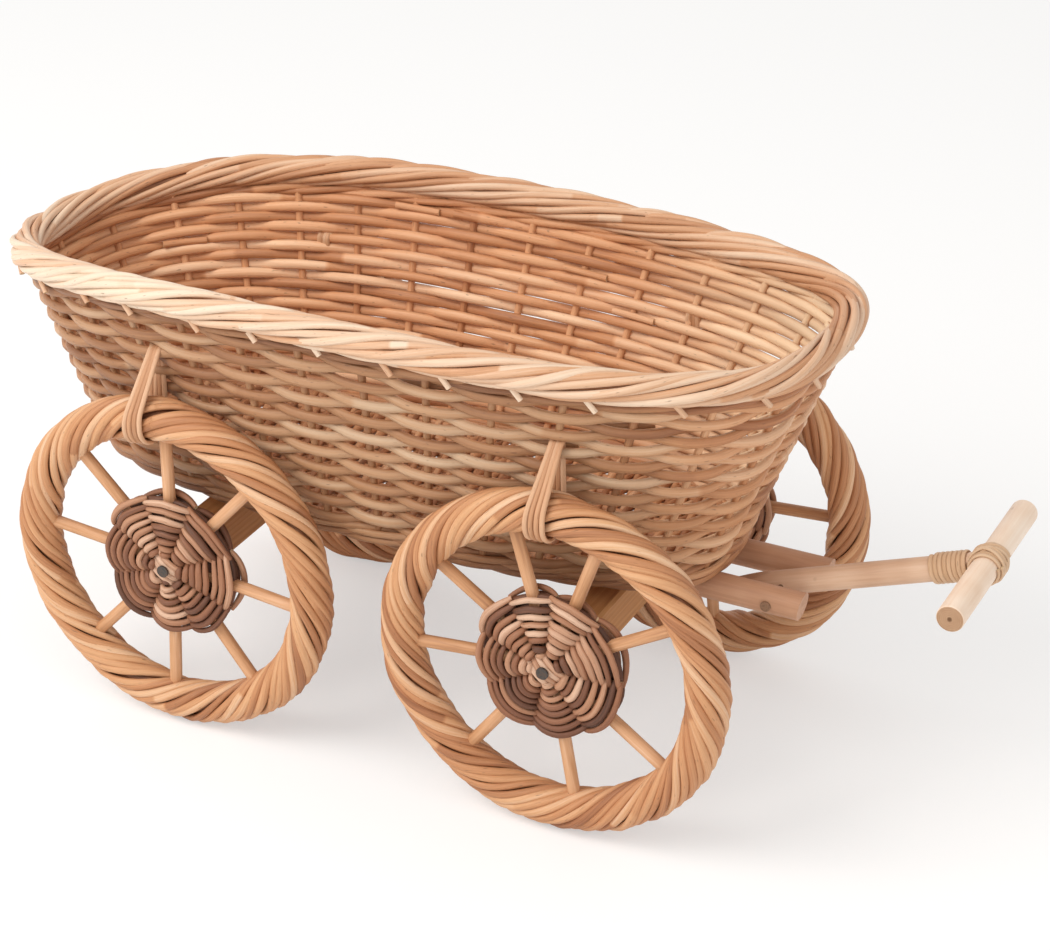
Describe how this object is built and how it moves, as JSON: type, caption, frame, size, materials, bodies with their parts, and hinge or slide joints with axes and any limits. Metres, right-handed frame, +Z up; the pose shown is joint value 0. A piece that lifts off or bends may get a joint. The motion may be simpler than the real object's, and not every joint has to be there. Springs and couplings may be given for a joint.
{
  "type": "flower cart stand",
  "caption": "Oval woven willow wagon planter: flared basket with rolled border on two rails and axle beams, spoked willow wheels and a tilting drawbar with a hand bar.",
  "frame": {"origin": "on the ground, midway between the two axles and the left and right wheels", "axes": "+X forward towards the hand bar, +Y to the cart's left, +Z up"},
  "size_m": [1.0236, 0.4069, 0.4775],
  "materials": {
    "woven_wall": "buff willow rods, satin",
    "woven_border": "rolled buff willow rods, satin",
    "woven_floor": "buff willow rods, satin",
    "beam_wood": "sawn softwood, oiled",
    "peeled_wood": "peeled pole, satin",
    "nail_steel": "dull steel",
    "spoke_wood": "peeled rod, satin",
    "wheel_rods": "twisted bundle of buff willow rods, satin",
    "hub_rods": "dark willow rods, satin",
    "tie_rods": "buff willow rods, satin",
    "hand_wood": "sanded pale wood",
    "lashing": "split willow, satin"
  },
  "bodies": {
    "cart": {"basket_wall": "woven_wall", "basket_border": "woven_border", "basket_floor": "woven_floor", "axle_rear": "beam_wood", "axle_front": "beam_wood", "rail_right": "peeled_wood", "rail_left": "peeled_wood", "rail_nails": "nail_steel", "floor_nails": "nail_steel", "wheel_rear_right_spokes": "spoke_wood", "wheel_rear_right_rim": "wheel_rods", "wheel_rear_right_hub": "hub_rods", "wheel_rear_right_nail": "nail_steel", "wheel_rear_right_tie": "tie_rods", "wheel_front_right_spokes": "spoke_wood", "wheel_front_right_rim": "wheel_rods", "wheel_front_right_hub": "hub_rods", "wheel_front_right_nail": "nail_steel", "wheel_front_right_tie": "tie_rods", "wheel_front_left_spokes": "spoke_wood", "wheel_front_left_rim": "wheel_rods", "wheel_front_left_hub": "hub_rods", "wheel_front_left_nail": "nail_steel", "wheel_front_left_tie": "tie_rods", "wheel_rear_left_spokes": "spoke_wood", "wheel_rear_left_rim": "wheel_rods", "wheel_rear_left_hub": "hub_rods", "wheel_rear_left_nail": "nail_steel", "wheel_rear_left_tie": "tie_rods", "drawbar_pin": "nail_steel"},
    "drawbar_arm": {"drawbar": "peeled_wood", "hand_bar": "hand_wood", "hand_bar_nail": "nail_steel", "drawbar_lashing": "lashing", "hand_bar_lashing": "lashing"}
  },
  "joints": [
    {"name": "drawbar_tilt", "type": "hinge", "parent": "cart", "child": "drawbar_arm", "pos_m": [0.3565, 0, 0.2075], "axis": [0, -1, 0], "range_deg": [-20, 54]}
  ]
}
